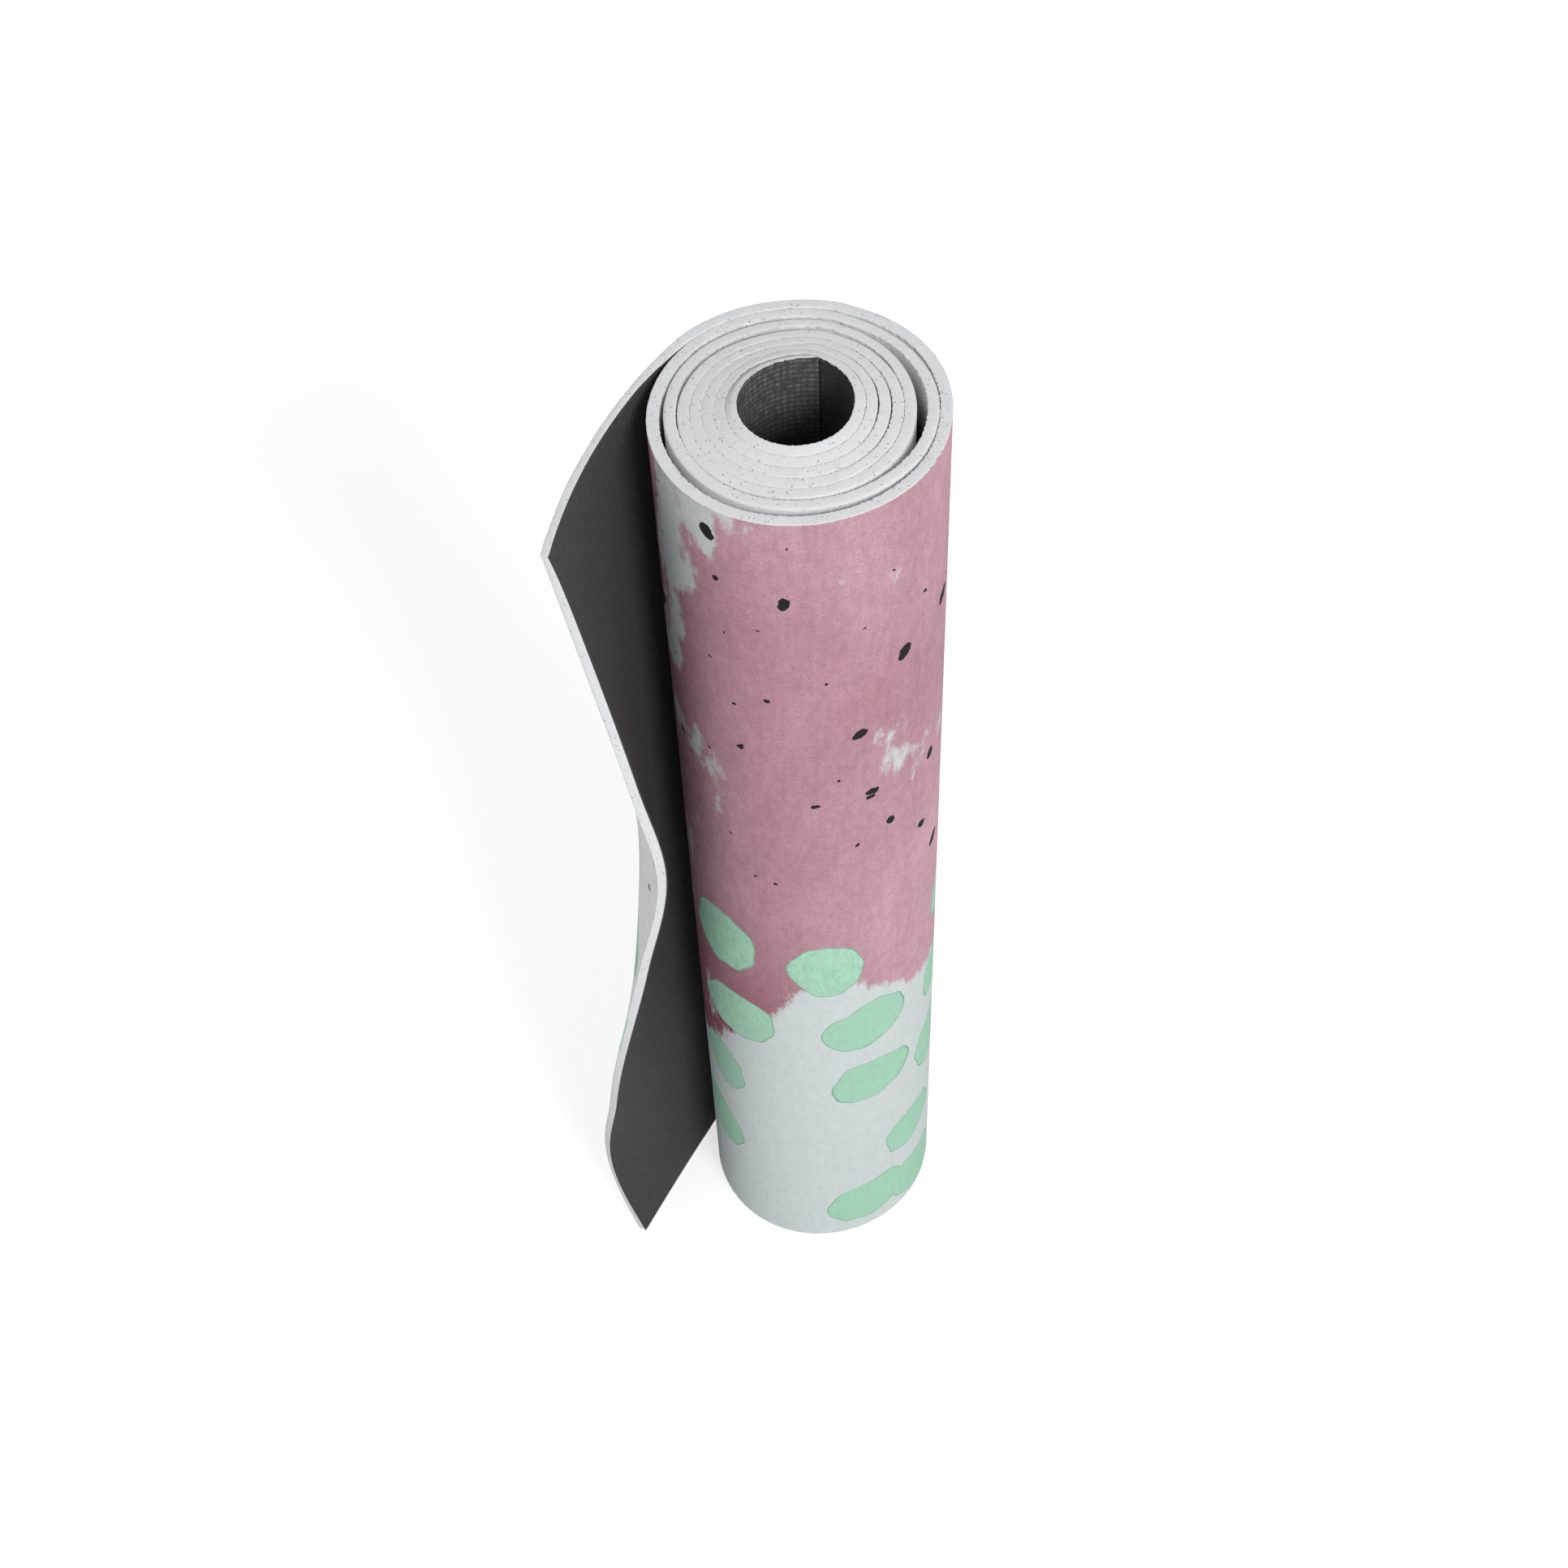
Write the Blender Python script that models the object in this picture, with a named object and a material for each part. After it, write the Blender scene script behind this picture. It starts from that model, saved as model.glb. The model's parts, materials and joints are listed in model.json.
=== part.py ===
"""Yoga mat, rolled up and standing on one end, with its last part turn peeling open.

The mat is one long laminate: a thin printed face, a closed-cell foam core and a
dark non-slip backing. It is wound with the backing inwards, loosely enough that the
outer turns part in places, and its inner turns have crept up out of the roll. The
free end stands away from the roll as a flap, and its height bends in a wave.
The flap swings on a bend line a little beyond the place where it leaves the roll.

Metres, +Z up. The origin is at the middle of the footprint, on the floor.
"""

import math

import bmesh
import bpy
import numpy as np
from mathutils import Vector

# The sheet and its three plies, from the inside of the roll outwards
MAT_WIDTH = 0.610
BACKING_THICKNESS = 0.0007
CORE_THICKNESS = 0.0032
FACE_THICKNESS = 0.0005
GLUE_LINE = 0.0003

# The roll
BORE_RADIUS = 0.0236
TURN_CLEARANCE = 0.0002
INNER_END_ANGLE = math.radians(67)
PEEL_ANGLE = math.radians(142)
FULL_TURNS = 7

# The inner turns are wound tighter, so that they have lost some of their thickness,
# and they have lost more of it where they cross the inner end
TURN_SQUEEZE_SHARE = 0.10
SQUEEZED_TURNS = 7
CROSSING_SQUEEZE_SHARE = 0.12
CROSSING_ANGLE = math.radians(95)
CROSSING_REACH = math.radians(38)

# The inner end is pressed thin and isn't bent as tight as the rest, so it stands off the
# bore's line, and the first turn climbs over it
TIP_SQUEEZE_SHARE = 0.6
TIP_FADE_ANGLE = math.radians(7)
TIP_LIFT_SHARE = 0.66
LIFT_FADE_ANGLE = math.radians(20)
CLIMB_ANGLE = math.radians(80)
CLIMB_POWER = 1.3

# The inner turns stand proud of the roll's end, less and less outwards
CREEP_HEIGHT = 0.0048
CREEP_TURNS = 6

# Where the winding is loose: the turn, the middle and half width in degrees, and how
# far the turn stands off the one below it as a share of the sheet's thickness
LOOSE_SPOT_SHARES = (
    (3, 0, 70, 0.08),
    (4, 345, 100, 0.09),
    (6, 105, 110, 0.48),
    (6, 260, 65, 0.17),
    (6, 0, 90, 0.84),
    (7, 105, 60, 0.26),
    (7, 235, 110, 0.70),
    (7, 305, 60, 0.24),
    (7, 45, 50, 0.20),
)

# The flap, measured along its inner face from the peel line
FLAP_LENGTH_TOP = 0.1210
FLAP_LENGTH_FOOT = 0.1080
BEND_LINE = 0.0270
BEND_GAP = 0.0003
ROOT_RADIUS = 0.240
BEND_CLOSES = math.radians(16)

# The wave in the flap: a height as a share of the mat's width, and the curl there as
# a share of the curl of a sheet that would go on round the roll
FLAP_CURL_SHARES = (
    (0.00, 0.03),
    (0.09, -0.26),
    (0.25, -0.03),
    (0.50, 0.47),
    (0.63, 0.68),
    (0.75, 0.55),
    (1.00, 0.23),
)

# How finely the sheet is divided
STATIONS_PER_TURN = 48
ROOT_STATIONS = 4
FLAP_STATIONS = 10
FLAP_ROWS = 24

# Worked out from the sizes above
GLUED_THICKNESS = BACKING_THICKNESS + CORE_THICKNESS + FACE_THICKNESS
SHEET_THICKNESS = GLUED_THICKNESS + GLUE_LINE * 2
PEEL_WOUND = PEEL_ANGLE - INNER_END_ANGLE + math.tau * FULL_TURNS
PLIES = {
    "backing": (0, BACKING_THICKNESS),
    "foam_core": (
        BACKING_THICKNESS + GLUE_LINE,
        BACKING_THICKNESS + GLUE_LINE + CORE_THICKNESS,
    ),
    "printed_face": (SHEET_THICKNESS - FACE_THICKNESS, SHEET_THICKNESS),
}
FINISHES = {
    "backing": ((0.045, 0.045, 0.048), 0.85),
    "foam_core": ((0.80, 0.81, 0.82), 0.75),
    "printed_face": ((0.42, 0.22, 0.27), 0.65),
}


def squeeze(wound):
    """The share of its thickness that the sheet has lost, at an angle wound from its inner end."""
    tightness = max(0, 1 - wound / (math.tau * SQUEEZED_TURNS))
    away = math.remainder(INNER_END_ANGLE + wound - CROSSING_ANGLE, math.tau)
    crossing = math.exp(-((away / CROSSING_REACH) ** 2))
    at_tip = TIP_SQUEEZE_SHARE * math.exp(-wound / TIP_FADE_ANGLE)
    return at_tip + tightness * (TURN_SQUEEZE_SHARE + CROSSING_SQUEEZE_SHARE * crossing)


def thickness_at(wound):
    return SHEET_THICKNESS * (1 - squeeze(wound))


def looseness(wound):
    """How far a turn stands off the one below it, beyond the clearance of a tight turn."""
    stand_off = 0
    for turn, middle, half_width, share in LOOSE_SPOT_SHARES:
        turn_starts = math.tau * (turn - 1)
        spot_at = turn_starts + (math.radians(middle) - INNER_END_ANGLE) % math.tau
        away = (wound - spot_at) / math.radians(half_width)
        if abs(away) < 1:
            stand_off += share * SHEET_THICKNESS * (1 + math.cos(math.pi * away)) / 2
    return stand_off


def inner_radius(wound):
    """The radius of the sheet's inner face, each turn laid on the one below."""
    if wound >= math.tau:
        below = wound - math.tau
        return inner_radius(below) + thickness_at(below) + TURN_CLEARANCE + looseness(wound)
    tip_height = TIP_LIFT_SHARE * SHEET_THICKNESS
    lift = tip_height * math.exp(-wound / LIFT_FADE_ANGLE)
    climbed = max(0, 1 - (math.tau - wound) / CLIMB_ANGLE) ** CLIMB_POWER
    return BORE_RADIUS + lift + (tip_height + thickness_at(0) + TURN_CLEARANCE) * climbed


def creep(wound):
    """How far the sheet has crept up out of the roll."""
    left = 1 - wound / (math.tau * CREEP_TURNS)
    return CREEP_HEIGHT * max(0, left) ** 2


def curl_share(height_share):
    """The flap's curl at a height, on a smooth curve through the shares above."""
    heights, curls = np.array(FLAP_CURL_SHARES).T
    slopes = np.gradient(curls, heights)
    last = len(heights) - 2
    low = min(last, int(np.searchsorted(heights, height_share, side="right")) - 1)
    span = heights[low + 1] - heights[low]
    t = (height_share - heights[low]) / span
    return (
        curls[low] * (1 + 2 * t) * (1 - t) ** 2
        + slopes[low] * span * t * (1 - t) ** 2
        + curls[low + 1] * (3 - 2 * t) * t**2
        + slopes[low + 1] * span * (t - 1) * t**2
    )


def along_arc(start, heading, curvature, length):
    """The end of an arc of this length and curvature, and the heading there."""
    turned = curvature * length
    chord = length * np.sinc(turned / math.tau)
    middle = heading + turned / 2
    step = Vector((math.cos(middle), math.sin(middle))) * chord
    return start + step, heading + turned


def on_roll(wound, depth):
    """A point of the wound sheet, at a depth measured out from its inner face."""
    angle = INNER_END_ANGLE + wound
    radius = inner_radius(wound) + depth * (1 - squeeze(wound))
    return Vector((math.cos(angle), math.sin(angle))) * radius


def off_roll(length, depth, height_share):
    """A point of the sheet beyond the peel line, a length along its inner face."""
    place, heading = on_roll(PEEL_WOUND, 0), PEEL_ANGLE + math.pi / 2
    place, heading = along_arc(place, heading, 1 / ROOT_RADIUS, min(length, BEND_LINE))
    if length > BEND_LINE:
        curvature = curl_share(height_share) / inner_radius(PEEL_WOUND)
        place, heading = along_arc(place, heading, curvature, length - BEND_LINE)
    outwards = heading - math.pi / 2
    return place + Vector((math.cos(outwards), math.sin(outwards))) * depth


def roll_point(along_share, height_share, depth):
    """A point of the roll, its peeled root included. The shares run from 0 to 1."""
    root_share = ROOT_STATIONS / ROLL_STATIONS
    height = MAT_WIDTH * height_share
    if along_share <= 1 - root_share:
        wound = PEEL_WOUND * along_share / (1 - root_share)
        return Vector((*on_roll(wound, depth), height + creep(wound)))
    peeled = (along_share - 1 + root_share) / root_share
    length = (BEND_LINE - BEND_GAP / 2) * peeled
    return Vector((*off_roll(length, depth, height_share), height))


def flap_point(along_share, height_share, depth):
    """A point of the flap. Its root edge is undercut, so that the flap can close."""
    undercut = (SHEET_THICKNESS - depth) * math.tan(BEND_CLOSES)
    start = BEND_LINE + BEND_GAP / 2 + undercut
    end = FLAP_LENGTH_FOOT + (FLAP_LENGTH_TOP - FLAP_LENGTH_FOOT) * height_share
    length = start + (end - start) * along_share
    return Vector((*off_roll(length, depth, height_share), MAT_WIDTH * height_share))


def footprint_middle():
    """The middle of the box round the roll and the flap, with the roll's axis at zero."""
    points = [roll_point(i / ROLL_STATIONS, 0, SHEET_THICKNESS) for i in range(ROLL_STATIONS + 1)]
    for row in range(FLAP_ROWS + 1):
        for station in range(FLAP_STATIONS + 1):
            shares = station / FLAP_STATIONS, row / FLAP_ROWS
            points += [flap_point(*shares, depth) for depth in (0, SHEET_THICKNESS)]
    lowest, highest = np.min(points, axis=0), np.max(points, axis=0)
    middle = (lowest + highest) / 2
    return Vector((middle[0], middle[1], 0))


def ply_mesh(name, point_at, depths, stations, rows):
    """A flat grid pulled out into a slab, then laid along the sheet at its depths."""
    mesh = bpy.data.meshes.new(name)
    bm = bmesh.new()
    bmesh.ops.create_grid(bm, x_segments=stations, y_segments=rows, size=0.5)
    inner = list(bm.verts)
    pulled = bmesh.ops.extrude_face_region(bm, geom=bm.faces[:])["geom"]
    outer = [part for part in pulled if isinstance(part, bmesh.types.BMVert)]
    for verts, depth in ((inner, depths[0]), (outer, depths[1])):
        for vert in verts:
            vert.co = point_at(vert.co.x + 0.5, vert.co.y + 0.5, depth)
    bmesh.ops.recalc_face_normals(bm, faces=bm.faces[:])
    bm.to_mesh(mesh)
    bm.free()
    mesh.shade_smooth()
    mesh.set_sharp_from_angle(angle=math.radians(30))
    return mesh


def finish_for(ply):
    colour, roughness = FINISHES[ply]
    material = bpy.data.materials.new(ply)
    material.use_nodes = True
    shader = material.node_tree.nodes["Principled BSDF"]
    shader.inputs["Base Color"].default_value = (*colour, 1)
    shader.inputs["Roughness"].default_value = roughness
    shader.inputs["Metallic"].default_value = 0
    return material


def add_ply(part, ply, point_at, stations, rows, pivot):
    """One ply of the roll or the flap, with its origin on the pivot's axis."""
    mesh = ply_mesh(f"{part}_{ply}", point_at, PLIES[ply], stations, rows)
    for vert in mesh.vertices:
        vert.co -= pivot
    mesh.materials.append(finish_for(ply))
    piece = bpy.data.objects.new(f"{part}_{ply}", mesh)
    yoga_mat.objects.link(piece)
    return piece


for old in list(bpy.data.objects):
    bpy.data.objects.remove(old)
yoga_mat = bpy.data.collections.new("yoga_mat")
bpy.context.scene.collection.children.link(yoga_mat)

wound_stations = round(PEEL_WOUND / math.tau * STATIONS_PER_TURN)
ROLL_STATIONS = wound_stations + ROOT_STATIONS
roll_axis = -footprint_middle()
bend_axis = Vector((*off_roll(BEND_LINE, SHEET_THICKNESS, 0), 0))

flap_hinge = bpy.data.objects.new("flap_hinge", None)
flap_hinge.location = roll_axis + bend_axis
yoga_mat.objects.link(flap_hinge)

for ply in PLIES:
    wound_ply = add_ply("roll", ply, roll_point, ROLL_STATIONS, 1, Vector())
    wound_ply.location = roll_axis
    free_ply = add_ply("flap", ply, flap_point, FLAP_STATIONS, FLAP_ROWS, bend_axis)
    free_ply.parent = flap_hinge
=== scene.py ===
"""A yoga mat rolled up and stood on one end, its free end peeling open, in a white studio.

Each ply is made flat, as it is cut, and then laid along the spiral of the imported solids.
"""

import json
import math

import bmesh
import bpy
import numpy as np
from mathutils import Matrix, Vector, noise


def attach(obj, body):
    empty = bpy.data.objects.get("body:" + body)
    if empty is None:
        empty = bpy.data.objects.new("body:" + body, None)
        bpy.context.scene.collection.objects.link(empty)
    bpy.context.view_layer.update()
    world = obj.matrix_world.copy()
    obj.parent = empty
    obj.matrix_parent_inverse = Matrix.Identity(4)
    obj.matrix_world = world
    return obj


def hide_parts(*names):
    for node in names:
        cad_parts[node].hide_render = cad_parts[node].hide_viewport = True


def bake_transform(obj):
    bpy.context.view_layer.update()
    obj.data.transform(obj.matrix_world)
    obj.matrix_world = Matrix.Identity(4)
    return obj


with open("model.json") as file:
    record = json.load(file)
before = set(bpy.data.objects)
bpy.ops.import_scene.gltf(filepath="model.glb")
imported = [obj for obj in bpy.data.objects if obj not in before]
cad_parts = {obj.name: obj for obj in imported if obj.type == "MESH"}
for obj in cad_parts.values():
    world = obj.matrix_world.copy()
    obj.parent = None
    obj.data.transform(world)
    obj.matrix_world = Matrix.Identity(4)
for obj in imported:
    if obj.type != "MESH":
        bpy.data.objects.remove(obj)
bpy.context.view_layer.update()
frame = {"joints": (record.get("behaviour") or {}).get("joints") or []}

# The foam core is one long sheet of white closed-cell foam and most of the mat's thickness.
# It is wound loosely: the inner turns are pressed thinner, the outer ones part in places, and
# the inner ones have crept upwards.
MAT_WIDTH = 0.610
SHEET_THICKNESS = 0.0050
BORE_RADIUS = 0.0236
TURN_CLEARANCE = 0.0002
INNER_END_ANGLE = math.radians(67)
PEEL_ANGLE = math.radians(142)
FULL_TURNS = 7
TURN_SQUEEZE_SHARE = 0.10
SQUEEZED_TURNS = 7
# The turns are pressed most where they cross the inner end
CROSSING_SQUEEZE_SHARE = 0.12
CROSSING_ANGLE = math.radians(95)
CROSSING_REACH = math.radians(38)
TIP_SQUEEZE_SHARE = 0.6
TIP_FADE_ANGLE = math.radians(7)
TIP_LIFT_SHARE = 0.66
LIFT_FADE_ANGLE = math.radians(20)
CLIMB_ANGLE = math.radians(80)
CLIMB_POWER = 1.3
CREEP_HEIGHT = 0.0048
CREEP_TURNS = 6
# The turn, the middle and half width in degrees, and the share of the thickness it stands off
LOOSE_SPOT_SHARES = (
    (3, 0, 70, 0.08),
    (4, 345, 100, 0.09),
    (6, 105, 110, 0.48),
    (6, 260, 65, 0.17),
    (6, 0, 90, 0.84),
    (7, 105, 60, 0.26),
    (7, 235, 110, 0.70),
    (7, 305, 60, 0.24),
    (7, 45, 50, 0.20),
)
PEEL_WOUND = PEEL_ANGLE - INNER_END_ANGLE + math.tau * FULL_TURNS

FLAP_LENGTH_TOP = 0.1210
FLAP_LENGTH_FOOT = 0.1080
BEND_LINE = 0.0270
ROOT_RADIUS = 0.240
# A height as a share of the width, and the flap's curl there as a share of the roll's own
FLAP_CURL_SHARES = (
    (0.00, 0.03),
    (0.09, -0.26),
    (0.25, -0.03),
    (0.50, 0.47),
    (0.63, 0.68),
    (0.75, 0.55),
    (1.00, 0.23),
)
# The flap's upper rim is pressed thinner, from its inner side. The pressing starts and is whole
# at these lengths beyond the peel line.
PRESSED_SHARE = 0.42
PRESSED_HEIGHT = 0.014
PRESSED_FROM, PRESSED_WHOLLY = -0.020, 0.030


def squeeze(wound):
    """The share of its thickness that the sheet has lost, at an angle wound from its inner end."""
    tightness = np.maximum(0, 1 - wound / (math.tau * SQUEEZED_TURNS))
    away = (INNER_END_ANGLE + wound - CROSSING_ANGLE + math.pi) % math.tau - math.pi
    crossing = np.exp(-((away / CROSSING_REACH) ** 2))
    at_tip = TIP_SQUEEZE_SHARE * np.exp(-wound / TIP_FADE_ANGLE)
    return at_tip + tightness * (TURN_SQUEEZE_SHARE + CROSSING_SQUEEZE_SHARE * crossing)


def looseness(wound):
    """How far the sheet stands off the turn below it."""
    stand_off = 0
    for turn, middle, half_width, share in LOOSE_SPOT_SHARES:
        turn_starts = math.tau * (turn - 1)
        spot_at = turn_starts + (math.radians(middle) - INNER_END_ANGLE) % math.tau
        away = (wound - spot_at) / math.radians(half_width)
        if abs(away) < 1:
            stand_off += share * SHEET_THICKNESS * (1 + math.cos(math.pi * away)) / 2
    return stand_off


def inner_radius(wound):
    """The radius of the sheet's inner face, each turn laid on the one below."""
    if wound >= math.tau:
        below = wound - math.tau
        height = SHEET_THICKNESS * (1 - squeeze(below))
        return inner_radius(below) + height + TURN_CLEARANCE + looseness(wound)
    tip_height = TIP_LIFT_SHARE * SHEET_THICKNESS
    lift = tip_height * math.exp(-wound / LIFT_FADE_ANGLE)
    climbed = max(0, 1 - (math.tau - wound) / CLIMB_ANGLE) ** CLIMB_POWER
    tip_outside = tip_height + SHEET_THICKNESS * (1 - squeeze(0)) + TURN_CLEARANCE
    return BORE_RADIUS + lift + tip_outside * climbed


SPIRAL_POINTS = 4096
wound_at = np.linspace(0, PEEL_WOUND, SPIRAL_POINTS)
radius_at = np.array([inner_radius(wound) for wound in wound_at])
middle_at = radius_at + SHEET_THICKNESS * (1 - squeeze(wound_at)) / 2
steps = np.hypot(np.diff(middle_at), np.diff(wound_at) * (middle_at[1:] + middle_at[:-1]) / 2)
length_at = np.concatenate(([0], np.cumsum(steps)))
WOUND_LENGTH = length_at[-1]


def curl_at(height_shares):
    """The flap's curl at these heights, on a smooth curve through the shares above."""
    heights, curls = np.array(FLAP_CURL_SHARES).T
    slopes = np.gradient(curls, heights)
    low = np.clip(np.searchsorted(heights, height_shares, side="right") - 1, 0, len(heights) - 2)
    span = heights[low + 1] - heights[low]
    t = (height_shares - heights[low]) / span
    return (
        curls[low] * (1 + 2 * t) * (1 - t) ** 2
        + slopes[low] * span * t * (1 - t) ** 2
        + curls[low + 1] * (3 - 2 * t) * t**2
        + slopes[low + 1] * span * (t - 1) * t**2
    )


def along_arc(start, heading, curvature, length):
    """Where arcs of these lengths and curvatures end, and how they head there."""
    turned = curvature * length
    middle = heading + turned / 2
    chord = length * np.sinc(turned / math.tau)
    return start + np.stack((np.cos(middle), np.sin(middle)), 1) * chord[:, None], heading + turned


def press_rim(length, height, depth):
    """The depth of these points once the flap's upper rim is pressed."""
    share = (length - WOUND_LENGTH - PRESSED_FROM) / (PRESSED_WHOLLY - PRESSED_FROM)
    share = np.clip(share, 0, 1)
    pressed = PRESSED_SHARE * (3 - 2 * share) * share**2
    pressed *= np.exp(-np.maximum(MAT_WIDTH - height, 0) / PRESSED_HEIGHT)
    return depth + (SHEET_THICKNESS - depth) * pressed


def lay(flat):
    """Points of the flat mat, as length, height and depth, in their places on the rolled one.

    The roll's axis stands at zero here.
    """
    length, height, depth = flat.T
    depth = press_rim(length, height, depth)
    wound = np.interp(length, length_at, wound_at)
    angle = INNER_END_ANGLE + wound
    radius = np.interp(wound, wound_at, radius_at) + depth * (1 - squeeze(wound))
    turns_out = wound / math.tau + depth / SHEET_THICKNESS - 0.5
    crept = CREEP_HEIGHT * np.maximum(0, 1 - turns_out / CREEP_TURNS) ** 2
    place = np.stack((np.cos(angle) * radius, np.sin(angle) * radius), 1)

    peeled = np.maximum(length - WOUND_LENGTH, 0)
    start = np.array((math.cos(PEEL_ANGLE), math.sin(PEEL_ANGLE))) * radius_at[-1]
    heading = np.full(len(flat), PEEL_ANGLE + math.pi / 2)
    root = np.minimum(peeled, BEND_LINE)
    bend, heading = along_arc(start, heading, np.full(len(flat), 1 / ROOT_RADIUS), root)
    curvature = curl_at(np.clip(height / MAT_WIDTH, 0, 1)) / radius_at[-1]
    free, heading = along_arc(bend, heading, curvature, peeled - root)
    free += np.stack((np.sin(heading), -np.cos(heading)), 1) * depth[:, None]
    on_roll = peeled[:, None] == 0
    return np.column_stack((np.where(on_roll, place, free), height + crept))


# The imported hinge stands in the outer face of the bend, which gives the roll's axis its place
hinge = Vector(frame["joints"][0]["pos_m"])
bend_in_roll = lay(np.array([[WOUND_LENGTH + BEND_LINE, 0, SHEET_THICKNESS]]))[0]
ROLL_AXIS = np.array((hinge.x - bend_in_roll[0], hinge.y - bend_in_roll[1], 0))

# The wound piece ends and the peeled one starts a little beyond the peel line, on the roll's
# side of the bend, where the sheet still follows the roll at every pose
SEAM_BEYOND_PEEL = 0.010
SEAM = WOUND_LENGTH + SEAM_BEYOND_PEEL
# The gap behind the flap opens a little before the peel line
GAP_BEFORE_PEEL = 0.016
GAP_OPENS = WOUND_LENGTH - GAP_BEFORE_PEEL
# The lengths at which the first turn ends and the outermost one starts
FIRST_TURN = float(np.interp(math.tau, wound_at, length_at))
OUTER_TURN = float(np.interp(PEEL_WOUND - math.tau, wound_at, length_at))
# The free end is cut a little out of square, so it is given at its foot and at its top
FLAP_ENDS = WOUND_LENGTH + FLAP_LENGTH_FOOT, WOUND_LENGTH + FLAP_LENGTH_TOP


def cut_ply(depths, start, ends, step, rows):
    """A ply lying flat as it is cut: a grid pulled out to its thickness, closer at the rims."""
    bm = bmesh.new()
    columns = round((ends[1] - start) / step)
    bmesh.ops.create_grid(bm, x_segments=columns, y_segments=rows, size=0.5)
    for vert in bm.verts:
        across = (1 + math.sin(math.pi * vert.co.y)) / 2
        end = ends[0] + (ends[1] - ends[0]) * across
        vert.co = (start + (end - start) * (vert.co.x + 0.5), MAT_WIDTH * across, depths[0])
    pulled = bmesh.ops.extrude_face_region(bm, geom=bm.faces[:])["geom"]
    outer = [part for part in pulled if isinstance(part, bmesh.types.BMVert)]
    bmesh.ops.translate(bm, verts=outer, vec=(0, 0, depths[1] - depths[0]))
    bmesh.ops.recalc_face_normals(bm, faces=bm.faces[:])
    return bm


def from_rim(vert):
    return min(vert.co.y, MAT_WIDTH - vert.co.y)


def roughen(bm, amount, size, reach, depth_share):
    """Moves what lies near the rims a little, as a blade leaves it."""
    elsewhere = Vector((0, 0, 71.3))
    for vert in bm.verts:
        if from_rim(vert) < reach:
            spot = vert.co / size
            inwards = 1 if vert.co.y < MAT_WIDTH / 2 else -1
            vert.co.y += inwards * amount * (noise.noise(spot) + 0.5)
            vert.co.z += amount * depth_share * noise.noise(spot + elsewhere)


CREASE_ANGLE = math.radians(50)


def wind(name, bm):
    """Lays a flat ply in its place. It keeps its flat coordinates for its finish."""
    mesh = bpy.data.meshes.new(name)
    bm.to_mesh(mesh)
    bm.free()
    flat = np.array([vert.co for vert in mesh.vertices])
    mesh.attributes.new("flat", "FLOAT_VECTOR", "POINT").data.foreach_set("vector", flat.ravel())
    mesh.vertices.foreach_set("co", (lay(flat) + ROLL_AXIS).ravel())
    mesh.update()
    mesh.shade_smooth()
    mesh.set_sharp_from_angle(angle=CREASE_ANGLE)
    piece = bpy.data.objects.new(name, mesh)
    bpy.context.scene.collection.objects.link(piece)
    return piece


def bend_with_flap(piece):
    """Bakes the piece's placement into its mesh."""
    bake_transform(piece)


class Signal:
    """A socket in a finish. Sums written with it add the Math nodes that work them out."""

    def __init__(self, socket):
        self.socket = socket

    def node(self, kind, settings, sockets, out=0):
        """Another node in this finish, its settings made before its sockets are fed."""
        tree = self.socket.id_data
        made = tree.nodes.new(kind)
        for setting, value in settings.items():
            setattr(made, setting, value)
        for identifier, value in sockets.items():
            socket = next(one for one in made.inputs if one.identifier == identifier)
            if isinstance(value, Signal):
                tree.links.new(value.socket, socket)
            else:
                socket.default_value = value
        outputs = {one.identifier: one for one in made.outputs}
        return Signal(outputs[out] if isinstance(out, str) else made.outputs[out])

    def other(self, identifier):
        """Another output of the node that this one comes from."""
        return Signal(next(one for one in self.socket.node.outputs if one.identifier == identifier))

    def maths(self, operation, *others):
        values = dict(zip(("Value", "Value_001", "Value_002"), (self, *others)))
        return self.node("ShaderNodeMath", {"operation": operation}, values)

    def vector_maths(self, operation, out=0, **others):
        sockets = {"Vector": self, **others}
        return self.node("ShaderNodeVectorMath", {"operation": operation}, sockets, out)

    def __add__(self, other):
        return self.maths("ADD", other)

    def __sub__(self, other):
        return self.maths("SUBTRACT", other)

    def __rsub__(self, other):
        return self * -1 + other

    def __mul__(self, other):
        return self.maths("MULTIPLY", other)

    def __pow__(self, other):
        return self.maths("POWER", other)

    __radd__, __rmul__ = __add__, __mul__

    def held(self, low=0, high=1):
        return self.node("ShaderNodeClamp", {}, {"Value": self, "Min": low, "Max": high})

    def step(self, low, high):
        """0 below low and 1 above high, and smooth between them."""
        sockets = {"Value": self, "From Min": low, "From Max": high}
        return self.node("ShaderNodeMapRange", {"interpolation_type": "SMOOTHSTEP"}, sockets)

    def mix(self, below, above):
        """A colour between two others, with this as the share of the second."""
        sockets = {"Factor_Float": self, "A_Color": below, "B_Color": above}
        settings = {"data_type": "RGBA"}
        return self.node("ShaderNodeMix", settings, sockets, out="Result_Color")

    def part(self, axis="X"):
        return self.node("ShaderNodeSeparateXYZ", {}, {"Vector": self}, out=axis)

    def stretched(self, *shares):
        """Coordinates multiplied along each axis."""
        return self.vector_maths("MULTIPLY", Vector_001=shares)

    def wavy(self, waves, detail, reach):
        """Coordinates moved along and up the sheet by uneven waves of this reach."""
        moved = self.grain(waves, detail).other("Color")
        return moved.vector_maths("MULTIPLY_ADD", Vector_001=(reach, reach, 0), Vector_002=self)

    def grain(self, scale, detail=2.0, roughness=0.5):
        sockets = {"Vector": self, "Scale": scale, "Detail": detail, "Roughness": roughness}
        return self.node("ShaderNodeTexNoise", {}, sockets)

    def cells(self, scale):
        return self.node("ShaderNodeTexVoronoi", {}, {"Vector": self, "Scale": scale})


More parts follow.
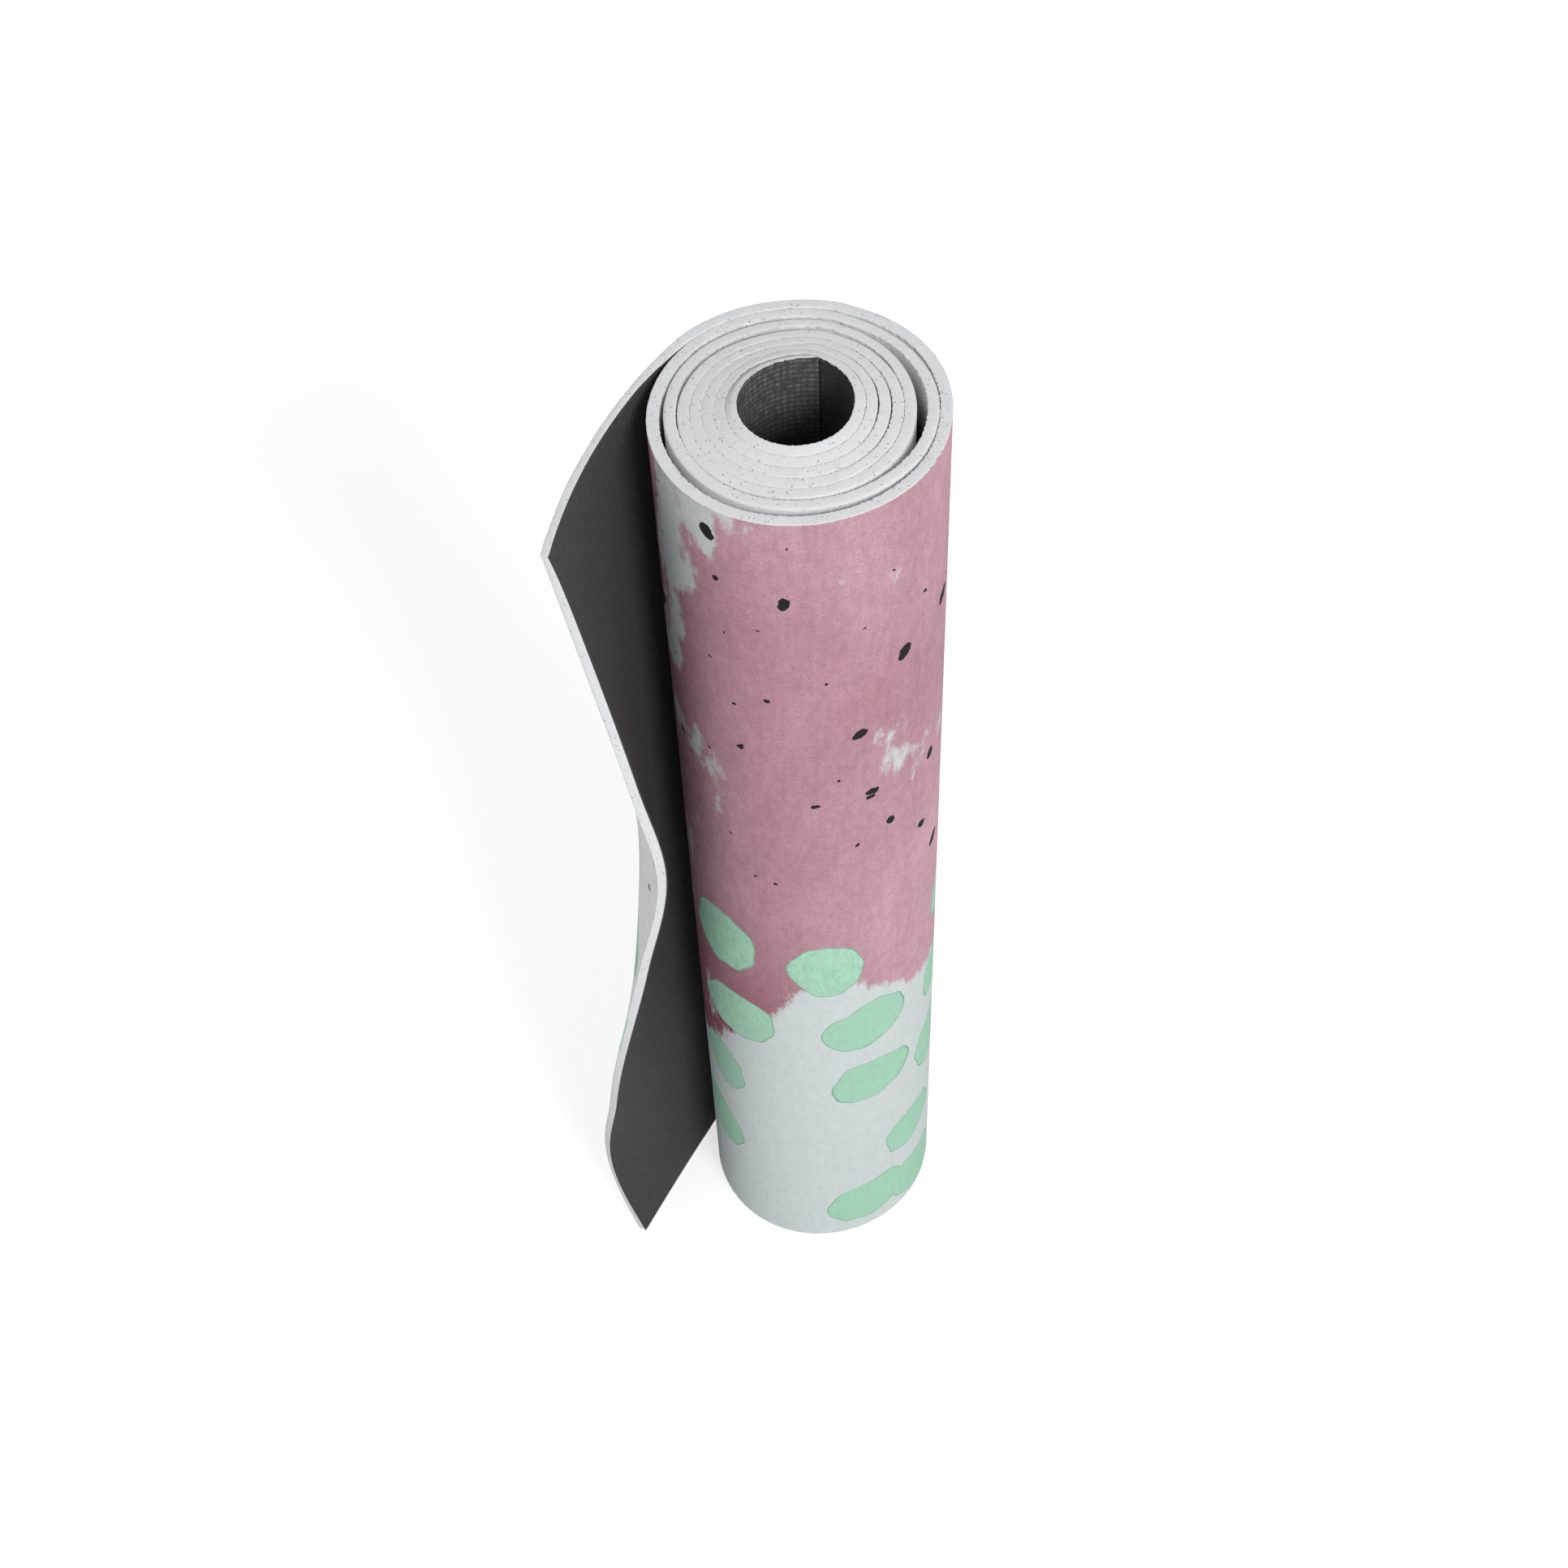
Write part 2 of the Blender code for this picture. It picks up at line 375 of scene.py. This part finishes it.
# How much all three finishes reflect, less than smooth rubber because they are open and matt
SHEEN = 0.15


def start_finish(name, roughness):
    """A new finish: its shader, and the flat coordinates of the sheet it is on."""
    material = bpy.data.materials.new(name)
    material.use_nodes = True
    shader = material.node_tree.nodes["Principled BSDF"]
    shader.inputs["Roughness"].default_value = roughness
    shader.inputs["Specular IOR Level"].default_value = SHEEN
    read = material.node_tree.nodes.new("ShaderNodeAttribute")
    read.attribute_name = "flat"
    spot = Signal(read.outputs["Vector"])
    along = spot.part()
    return material, shader, spot, along, along.other("Y")


def feed(shader, colour, height, relief):
    """Gives the shader its colour and its fine relief."""
    links = shader.id_data.links
    links.new(colour.socket, shader.inputs["Base Color"])
    sockets = {"Strength": 1.0, "Distance": relief, "Height": height}
    bump = height.node("ShaderNodeBump", {}, sockets)
    links.new(bump.socket, shader.inputs["Normal"])


# The foam's cut ends show fine cells, a few larger pits and some bright ones. A hidden turn's
# outer rim is soft and round, and its inner rim is left ragged by the blade. Near its rims the
# foam swells out past the skins, so that tight turns almost close and open ones show white walls.
FOAM_DEPTHS = 0.0005, 0.0046
# The rims' rounding, and how far below a rim its shapes have faded away
RIM_ROUND, RIM_FADES = 0.0005, 0.0028
RIM_CORNER = math.radians(60)
# How round the rims of hidden turns are, as shares of that: outer ones where the turns are tight
# and where they are loose, inner ones in front and at the back, and the first outer one there
TIGHT_RIM, LOOSE_RIM, RAGGED_RIM, BACK_RIM, FIRST_RIM = 1.2, 2.6, 0.6, 1.6, 4.6
# The turns between which the outer rims change from one of those to the next
RIM_TURNS = 0.6, 1.0, 4.0, 5.0, 5.9, 6.2
# How far the back reaches on each side of the crossing, in radians
BACK_REACH = 0.7
TOOTH_HEIGHT, TOOTH_LENGTH = 0.00085, 0.0013
# The share of the teeth's height that is left on the innermost turn
WORN_TEETH = 0.5
# How far below its rim the foam is bare: beside a skin that shows, in the bore and in the gaps
LIP_SHOWN, LIP_LINING, LIP_HIDDEN = 0.0004, 0.0007, 0.0340
# The foam is cut across this far below its rims, so that its shapes have points to bend at
RIM_CUTS = LIP_SHOWN, LIP_LINING, RIM_FADES, 0.0080, 0.0180, LIP_HIDDEN, 0.0350
# The bare foam swells by this, in waves of this size and most on the flap's side
LIP_SWELL, LIP_WAVES = 0.00009, 0.012
SWELL_SHARE, SWELL_TO_SIDE, SWELL_IN_WAVES = 0.55, 0.45, 0.6
# The rims are plain up to the first of these lengths from the inner end, and have their shapes
# from the second on
TIP_PLAIN, TIP_SHAPED = 0.002, 0.004
# At the inner end each ply starts this much later than the one inside it
TIP_RECESS = 0.0014
ROUNDING_ERROR = 1e-6

FOAM_WHITE = (0.90, 0.908, 0.918, 1)
FOAM_GREY = (0.42, 0.43, 0.44, 1)
# Near black, for the painted shade on the inner end's cut face
FOAM_PAINTED_SHADE = (0.030, 0.030, 0.032, 1)
# Where the painted shade on the outer half of the first few centimetres fades, a darkening that
# stands for the shade in the groove beside the first turn's outer rim, and where the painted shade
# that darkens the inner end's cut face below its rim does
GROOVE_SHADE_DEPTHS, GROOVE_SHADE_LENGTHS = (0.0022, 0.0032), (0.030, 0.070)
TIP_SHADE_BELOW_RIM, TIP_SHADE_LENGTHS = (0.0015, 0.0040), (0.010, 0.014)

foam, shader, spot, along, up = start_finish("cut_foam", roughness=0.85)
fine = spot.grain(1600, 3.0, 0.7)
crumbs = spot.grain(560, 3.0, 0.65)
cloudy = spot.grain(60, 2.0)
pits = (1 - spot.cells(480).step(0.10, 0.22)) * spot.grain(210).step(0.49, 0.60)
glints = (1 - spot.cells(760).step(0.10, 0.20)) * spot.grain(170).step(0.52, 0.60)
bright = (1.55 - 0.62 * fine - 0.36 * crumbs - 0.12 * cloudy).held()
bright = bright + 0.12 * glints - 0.45 * pits
# Painted shade: the outer half of the foam is darkened over its first few centimetres, for the
# shaded groove beside the first turn's outer rim
painted_groove_shade = along.other("Z").step(*GROOVE_SHADE_DEPTHS) * (1 - along.step(*GROOVE_SHADE_LENGTHS))
bright = bright - (0.40 + 0.50 * fine) * painted_groove_shade
# Painted shade: the inner end's cut face is darkened to near black below its rim
painted_tip_shade = (MAT_WIDTH - up).step(*TIP_SHADE_BELOW_RIM) * (1 - along.step(*TIP_SHADE_LENGTHS))
colour = painted_tip_shade.mix(bright.mix(FOAM_GREY, FOAM_WHITE), FOAM_PAINTED_SHADE)
feed(shader, colour, fine - 1.6 * pits, relief=0.00032)


def rim_shape(length, angle, outside):
    """Whether the foam's rim is hidden at this place of the roll, and how round it is there."""
    from_crossing = math.remainder(angle - CROSSING_ANGLE, math.tau)
    at_back = math.exp(-((from_crossing / BACK_REACH) ** 2))
    if outside:
        hidden = length < OUTER_TURN
        first = TIGHT_RIM + (FIRST_RIM - TIGHT_RIM) * at_back
        sizes = (first, TIGHT_RIM, TIGHT_RIM, LOOSE_RIM, LOOSE_RIM, 1)
        roundness = np.interp((angle - INNER_END_ANGLE) / math.tau, RIM_TURNS, sizes)
    else:
        hidden = FIRST_TURN + TIP_SHAPED < length < GAP_OPENS
        roundness = RAGGED_RIM + (BACK_RIM - RAGGED_RIM) * at_back if hidden else 1
    return hidden, np.interp(length, (TIP_PLAIN, TIP_SHAPED), (1, roundness))


def lip_swell(place, angle, outside):
    """How far the bare foam swells past its own face, over the edge of the skin and a little on."""
    wave = SWELL_IN_WAVES * noise.noise(place / LIP_WAVES)
    swollen = SWELL_SHARE - SWELL_TO_SIDE * math.cos(angle) + wave
    skin = SHEET_THICKNESS - FOAM_DEPTHS[1] if outside else FOAM_DEPTHS[0]
    return skin + LIP_SWELL * swollen


def foam_ply(name, start, ends, step, rows):
    """A stretch of the foam, with its rims rounded, torn and swollen as above."""
    bm = cut_ply(FOAM_DEPTHS, start, ends, step, rows)
    rims = [
        edge
        for edge in bm.edges
        if edge.calc_face_angle(0) > RIM_CORNER
        and any(abs(vert.co.x - SEAM) > ROUNDING_ERROR for vert in edge.verts)
    ]
    bmesh.ops.bevel(
        bm,
        geom=rims,
        offset=RIM_ROUND,
        offset_type="OFFSET",
        segments=4,
        profile=0.5,
        affect="EDGES",
        material=-1,
    )
    for height in RIM_CUTS:
        for level in (height, MAT_WIDTH - height):
            whole = bm.verts[:] + bm.edges[:] + bm.faces[:]
            bmesh.ops.bisect_plane(bm, geom=whole, plane_co=(0, level, 0), plane_no=(0, 1, 0))
    middle = sum(FOAM_DEPTHS) / 2
    for vert in bm.verts:
        length, height, depth = vert.co
        rim = from_rim(vert)
        outside = depth > middle
        angle = INNER_END_ANGLE + np.interp(length, length_at, wound_at)
        hidden, roundness = rim_shape(length, angle, outside)

        # The rounding grows or shrinks in place, and what lies just below it makes room
        places = (0, RIM_ROUND, RIM_FADES), (0, RIM_ROUND * roundness, RIM_FADES)
        lower = np.interp(rim, *places) - min(rim, RIM_FADES)
        face = FOAM_DEPTHS[1] if outside else FOAM_DEPTHS[0]
        if rim < RIM_ROUND + ROUNDING_ERROR:
            depth = face + (depth - face) * roundness
        share = (depth - middle) / (FOAM_DEPTHS[1] - middle)
        lip = LIP_HIDDEN if hidden else LIP_SHOWN if outside else LIP_LINING
        if rim < lip + ROUNDING_ERROR:
            depth += share * lip_swell(vert.co, angle, outside)
        if not outside and TIP_SHAPED < length < GAP_OPENS:
            tooth = noise.noise(Vector((length, height, 0)) / TOOTH_LENGTH)
            near = max(0, 1 - rim / RIM_FADES)
            depth += TOOTH_HEIGHT * (WORN_TEETH if length < FIRST_TURN else 1) * near * tooth
        vert.co.y += lower if height < MAT_WIDTH / 2 else -lower
        vert.co.z = depth
    roughen(bm, amount=0.00016, size=0.0014, reach=LIP_SHOWN + ROUNDING_ERROR, depth_share=0.5)
    roughen(bm, amount=0.00030, size=0.0150, reach=LIP_SHOWN + ROUNDING_ERROR, depth_share=0)
    return wind(name, bm)


wound_foam = foam_ply("wound_foam", TIP_RECESS, (SEAM, SEAM), step=0.0010, rows=2)
peeled_foam = foam_ply("peeled_foam", SEAM, FLAP_ENDS, step=0.0014, rows=100)
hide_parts("roll_foam_core")
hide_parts("flap_foam_core")
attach(wound_foam, "roll")
bend_with_flap(peeled_foam)
for piece in (wound_foam, peeled_foam):
    piece.data.materials.append(foam)

# The backing is a thin dark rubbery sheet with a fine woven grid, bonded to the foam's inner face.
# It lines the bore, where its weave is painted lighter to stand for the light that falls on it,
# most of all near the top, and the peeled flap shows it whole.
BACKING_DEPTHS = 0, 0.0005
THREADS_ALONG, THREADS_UP = 0.0030, 0.0027
THREADS_WANDER = 0.0012
LINING_SET_BACK = 0.0006
BACKING_DARK = (0.024, 0.024, 0.026, 1)
BACKING_PALE = (0.264, 0.266, 0.274, 1)
# Where the painted light on the weave that lines the bore fades, and where the stronger painted
# light near its top does
BORE_LIGHT_LENGTHS = 0.14, 0.20
RIM_LIGHT_BELOW_RIM, RIM_LIGHT_LENGTHS = (0.005, 0.070), (0.05, 0.11)

backing, shader, spot, along, up = start_finish("woven_backing", roughness=0.78)
across = spot.wavy(160, 2.0, THREADS_WANDER).part()
warp = 0.5 + 0.5 * (across * (math.tau / THREADS_ALONG)).maths("SINE")
weft = 0.5 + 0.5 * (across.other("Y") * (math.tau / THREADS_UP)).maths("SINE")
worn = spot.stretched(1, 0.5, 1).grain(420, 3.0)
threads = (0.35 * warp + weft**3 * (0.7 + 0.5 * warp)) * worn.step(0.34, 0.62)
speckle = spot.stretched(1, 0.45, 1).grain(2000, 3.0, 0.75)
smudge = spot.stretched(1, 0.35, 1).grain(420, 3.0, 0.7)
# Painted light: the weave that lines the bore is made lighter than the same backing on the flap
bore_painted_light = 1 - along.step(*BORE_LIGHT_LENGTHS)
# Painted light near the top of the bore, strongest just below the rim and fading downwards
painted_rim_light = (1 - (MAT_WIDTH - up).step(*RIM_LIGHT_BELOW_RIM)) * (1 - along.step(*RIM_LIGHT_LENGTHS))
pale = 0.008 + 0.15 * speckle + 0.15 * smudge + 0.06 * threads
pale = pale + bore_painted_light * (0.01 + 0.10 * painted_rim_light + threads * (0.06 + 0.40 * painted_rim_light))
colour = pale.mix(BACKING_DARK, BACKING_PALE)
feed(shader, colour, 0.4 * threads + 0.5 * speckle, relief=0.00030)

SKIN_STEP = 0.0016
WOUND_ROWS, PEELED_ROWS = 12, 120


def skin_ply(name, depths, start, ends, rows, set_backs):
    """A thin sheet bonded to the foam. Its rims lie a set distance below the foam's own."""
    bm = cut_ply(depths, start, ends, SKIN_STEP, rows)
    for vert in bm.verts:
        set_back = float(np.interp(vert.co.x, *zip(*set_backs)))
        vert.co.y = set_back + vert.co.y * (1 - 2 * set_back / MAT_WIDTH)
    roughen(bm, amount=0.00018, size=0.0020, reach=0.0050, depth_share=0)
    return wind(name, bm)


# A length of the mat, and how far below the foam's rims the backing's lie there
LINING_EASES, GAP_EASES = 0.012, 0.004
BACKING_SET_BACKS = (
    (FIRST_TURN, LINING_SET_BACK),
    (FIRST_TURN + LINING_EASES, LIP_HIDDEN),
    (GAP_OPENS - GAP_EASES, LIP_HIDDEN),
    (GAP_OPENS, LINING_SET_BACK),
)
wound_backing = skin_ply(
    "wound_backing", BACKING_DEPTHS, 0, (SEAM, SEAM), WOUND_ROWS, BACKING_SET_BACKS
)
peeled_backing = skin_ply(
    "peeled_backing", BACKING_DEPTHS, SEAM, FLAP_ENDS, PEELED_ROWS, BACKING_SET_BACKS
)
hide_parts("roll_backing")
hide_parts("flap_backing")
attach(wound_backing, "roll")
bend_with_flap(peeled_backing)
for piece in (wound_backing, peeled_backing):
    piece.data.materials.append(backing)

# The printed face is a thin suede-like sheet on the outside of the roll. Its print is a rose
# wash with feathered edges over a pale ground, round mint pebbles and small charcoal seeds.
FACE_DEPTHS = 0.0046, 0.0050
GROUND = (0.71, 0.775, 0.775, 1)
# A paler ground: painted light on the flap's shaded outer face near its free end
GROUND_PAINTED_LIGHT = (0.95, 0.96, 0.96, 1)
ROSE_PALE = (0.66, 0.408, 0.472, 1)
ROSE_DEEP = (0.31, 0.110, 0.150, 1)
MINT = (0.43, 0.735, 0.555, 1)
MINT_RIM = (0.17, 0.36, 0.26, 1)
CHARCOAL = (0.020, 0.020, 0.020, 1)
# The wash lies above this height, with a swell and a ripple in its edge, and ends this far along
# the outermost turn. Beyond it the ground is painted paler between these lengths, as painted light
# on the flap's outer face, which lies in shade.
WASH_HEIGHT, SWELL_HEIGHT, RIPPLE_HEIGHT = 0.20, 0.060, 0.014
WASH_LENGTH = 0.42
GROUND_LIGHT_LENGTHS = 0.45, 0.48
# The print starts just before the outermost turn, where it comes into sight
SHOWN_LENGTHS = -0.006, -0.005
# The wash is deeper below the first of these heights, less so beyond the first lengths, a little
# deeper above the last heights, and paler beyond the last lengths
DEEP_BELOW, DEEP_ABOVE = (0.17, 0.34), (0.40, 0.50)
DEEP_LENGTHS, PALE_LENGTHS = (0.09, 0.20), (0.05, 0.17)
# A pebble or seed is there where its chance and the height of its middle pass these sharp steps
PEBBLE_CHANCES, SEED_CHANCES = (0.22, 0.221), (0.405, 0.4052)
PEBBLES_START, PEBBLES_END, SEEDS_START = (0.020, 0.021), (0.340, 0.341), (0.340, 0.3402)
# The least radius of each, and how much more the largest have
PEBBLE_RADIUS, PEBBLE_GROWTH = 0.0195, 0.0060
SEED_RADIUS, SEED_GROWTH = 0.0008, 0.0046
# How far inside an outline the colour starts and is whole, and where a pebble's dark rim fades
PEBBLE_EDGE, PEBBLE_RIM, SEED_EDGE = (-0.0002, 0.0003), (0.0004, 0.0010), (-0.0002, 0.0002)

printed, shader, spot, along, up = start_finish("printed_suede", roughness=0.9)
turn = along - OUTER_TURN
shown = turn.step(*SHOWN_LENGTHS)
brush = spot.stretched(1, 0.45, 0)

swell = (turn * 19 + 4.9).maths("SINE")
ripple = (turn * 53 + 1.4).maths("SINE")
edge = up - WASH_HEIGHT - SWELL_HEIGHT * swell - RIPPLE_HEIGHT * ripple
edge = edge + 0.08 * (brush.grain(15) - 0.5) + 0.050 * (brush.grain(70, 5.0, 0.75) - 0.5)
flap_edge = turn - WASH_LENGTH + 0.05 * (brush.grain(30, 4.0, 0.7) - 0.5)
islands = spot.stretched(1, 0.5, 0).grain(11, 6.0, 0.66).step(0.575, 0.625)
wash = edge.step(-0.002, 0.006) * (1 - flap_edge.step(0, 0.006)) * (1 - 0.9 * islands) * shown
cloud = brush.grain(7.5, 4.0, 0.55).step(0.30, 0.70)
strokes = spot.stretched(1, 0.3, 1).grain(90, 3.0, 0.6)
lowest = (1 - up.step(*DEEP_BELOW)) * (1.3 - turn.step(*DEEP_LENGTHS))
tone = 0.50 * cloud + 0.24 * strokes + 0.42 * lowest + 0.12 * up.step(*DEEP_ABOVE)
tone = tone - 0.24 * turn.step(*PALE_LENGTHS) - 0.04
# Painted light: the ground gets paler towards the flap's free end
ground = turn.step(*GROUND_LIGHT_LENGTHS).mix(GROUND, GROUND_PAINTED_LIGHT)
print_colour = wash.mix(ground, tone.held().mix(ROSE_PALE, ROSE_DEEP))


def scattered(ripples, ripple_height, per_metre, randomness, longer):
    """The nearest of some uneven ovals: its distance, two chances and its middle's height."""
    place = spot.wavy(ripples, 1.0, ripple_height)
    settings = {"voronoi_dimensions": "2D"}
    sockets = {"Vector": place, "Scale": per_metre, "Randomness": randomness}
    middle = place.node("ShaderNodeTexVoronoi", settings, sockets, out="Position")
    chance = middle.other("Color").part()
    away = place.vector_maths("SUBTRACT", Vector_001=middle)
    sockets = {"Vector": away, "Angle": chance * math.pi}
    turned = away.node("ShaderNodeVectorRotate", {"rotation_type": "Z_AXIS"}, sockets)
    distance = turned.stretched(1, longer, 0).vector_maths("LENGTH", out="Value")
    return distance, chance.other("Y"), chance.other("Z"), middle.part("Y")


away, chance, size, height = scattered(
    ripples=48, ripple_height=0.012, per_metre=15, randomness=0.60, longer=1.20
)
reach = PEBBLE_RADIUS + PEBBLE_GROWTH * size
there = chance.step(*PEBBLE_CHANCES) * (1 - height.step(*PEBBLES_END))
there = there * height.step(*PEBBLES_START) * shown
pebble = (reach - away).step(*PEBBLE_EDGE) * there
rim = pebble * (1 - (reach - away).step(*PEBBLE_RIM))
print_colour = pebble.mix(print_colour, MINT)
print_colour = (rim * 0.75).mix(print_colour, MINT_RIM)

away, chance, size, height = scattered(
    ripples=360, ripple_height=0.0022, per_metre=40, randomness=1.0, longer=1.4
)
reach = SEED_RADIUS + SEED_GROWTH * size**3.5
there = chance.step(*SEED_CHANCES) * height.step(*SEEDS_START) * shown
seed = (reach - away).step(*SEED_EDGE) * there
print_colour = seed.mix(print_colour, CHARCOAL)

brushed = spot.stretched(1, 0.45, 1)
nap = brushed.grain(1400, 3.0, 0.7)
mottle = brushed.grain(330, 3.0, 0.6)
streak = spot.stretched(1, 0.04, 1).grain(420, 2.0)
dust = (1 - brushed.cells(760).step(0.10, 0.26)) * brushed.grain(120).step(0.48, 0.60)
heather = 0.85 * nap + 0.50 * mottle + 0.14 * streak + 0.30 * dust - 0.69
shade = 1 + heather * (0.40 + 0.60 * wash)
feed(shader, print_colour.vector_maths("SCALE", Scale=shade), nap, relief=0.00010)

FACE_START = 2 * TIP_RECESS
FACE_RISES, FACE_SHOWN = 0.03, 0.01
FACE_SET_BACKS = (
    (OUTER_TURN - FACE_RISES, LIP_HIDDEN),
    (OUTER_TURN - FACE_SHOWN, LIP_SHOWN),
)
wound_face = skin_ply(
    "wound_printed_face", FACE_DEPTHS, FACE_START, (SEAM, SEAM), WOUND_ROWS, FACE_SET_BACKS
)
peeled_face = skin_ply(
    "peeled_printed_face", FACE_DEPTHS, SEAM, FLAP_ENDS, PEELED_ROWS, FACE_SET_BACKS
)
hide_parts("roll_printed_face")
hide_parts("flap_printed_face")
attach(wound_face, "roll")
bend_with_flap(peeled_face)
for piece in (wound_face, peeled_face):
    piece.data.materials.append(printed)

# The studio: a plain pale floor that runs out of sight, a white surround and one soft lamp above,
# in front and to the right. To the camera the floor glows, so it is white but keeps its shade.
SURROUND = 0.50
FLOOR_HALF_WIDTH, FLOOR_BELOW_FOOT = 30, 0.0003
FLOOR_GREY = (0.78, 0.78, 0.78, 1)
FLOOR_SEEN = (0.58, 0.58, 0.58, 1)
FLOOR_GLOW = (0.66, 0.66, 0.66, 1)
LAMP_PLACE = (0.90, -1.74, 1.95)
LAMP_AIM = (0, 0, 0.35)
LAMP_SIZE, LAMP_POWER = 0.8, 29

bm = bmesh.new()
bmesh.ops.create_grid(bm, x_segments=1, y_segments=1, size=FLOOR_HALF_WIDTH)
bmesh.ops.translate(bm, verts=bm.verts[:], vec=(0, 0, -FLOOR_BELOW_FOOT))
mesh = bpy.data.meshes.new("floor")
bm.to_mesh(mesh)
bm.free()
floor = bpy.data.objects.new("floor", mesh)
bpy.context.scene.collection.objects.link(floor)
floor_paint = bpy.data.materials.new("floor_paint")
floor_paint.use_nodes = True
shader = floor_paint.node_tree.nodes["Principled BSDF"]
shader.inputs["Roughness"].default_value = 1.0
shader.inputs["Specular IOR Level"].default_value = 0.0
shader.inputs["Emission Strength"].default_value = 1.0
mesh.materials.append(floor_paint)
world = bpy.data.worlds.new("studio")
bpy.context.scene.world = world
world.use_nodes = True
sky = world.node_tree.nodes["Background"]


def seen_directly(tree):
    """1 for what the camera sees, in mirrors and through glass too, and 0 for other light."""
    path = tree.nodes.new("ShaderNodeLightPath")
    seen = Signal(path.outputs["Is Camera Ray"])
    seen = seen.maths("MAXIMUM", Signal(path.outputs["Is Glossy Ray"]))
    return seen.maths("MAXIMUM", Signal(path.outputs["Is Transmission Ray"]))


seen = seen_directly(floor_paint.node_tree)
paint = seen.mix(FLOOR_GREY, FLOOR_SEEN)
glow = seen.mix((0, 0, 0, 1), FLOOR_GLOW)
floor_paint.node_tree.links.new(paint.socket, shader.inputs["Base Color"])
floor_paint.node_tree.links.new(glow.socket, shader.inputs["Emission Color"])
seen = seen_directly(world.node_tree)
light = seen.mix((SURROUND, SURROUND, SURROUND, 1), (1, 1, 1, 1))
world.node_tree.links.new(light.socket, sky.inputs["Color"])

lamp_data = bpy.data.lights.new("softbox", "AREA")
lamp_data.shape = "SQUARE"
lamp_data.size = LAMP_SIZE
lamp_data.energy = LAMP_POWER
softbox = bpy.data.objects.new("softbox", lamp_data)
softbox.location = LAMP_PLACE
aim = Vector(LAMP_AIM) - softbox.location
softbox.rotation_euler = aim.to_track_quat("-Z", "Y").to_euler()
bpy.context.scene.collection.objects.link(softbox)

# The camera looks down steeply on the roll's upper end, with a short telephoto lens, and is
# tilted a little to its side.
CAMERA_FROM_AXIS = Vector((-0.01149, -0.72922, 1.34330))
PITCH, ROLL = math.radians(53.51), math.radians(-2.65)
LENS, SENSOR_WIDTH = 58.26, 36

camera_data = bpy.data.cameras.new("camera")
camera_data.sensor_width = SENSOR_WIDTH
camera_data.lens = LENS
camera = bpy.data.objects.new("camera", camera_data)
tilted = Matrix.Rotation(math.pi / 2 - PITCH, 4, "X") @ Matrix.Rotation(ROLL, 4, "Z")
camera.matrix_world = Matrix.Translation(Vector(ROLL_AXIS) + CAMERA_FROM_AXIS) @ tilted
bpy.context.scene.collection.objects.link(camera)
bpy.context.scene.camera = camera
bpy.context.scene.view_settings.view_transform = "Standard"
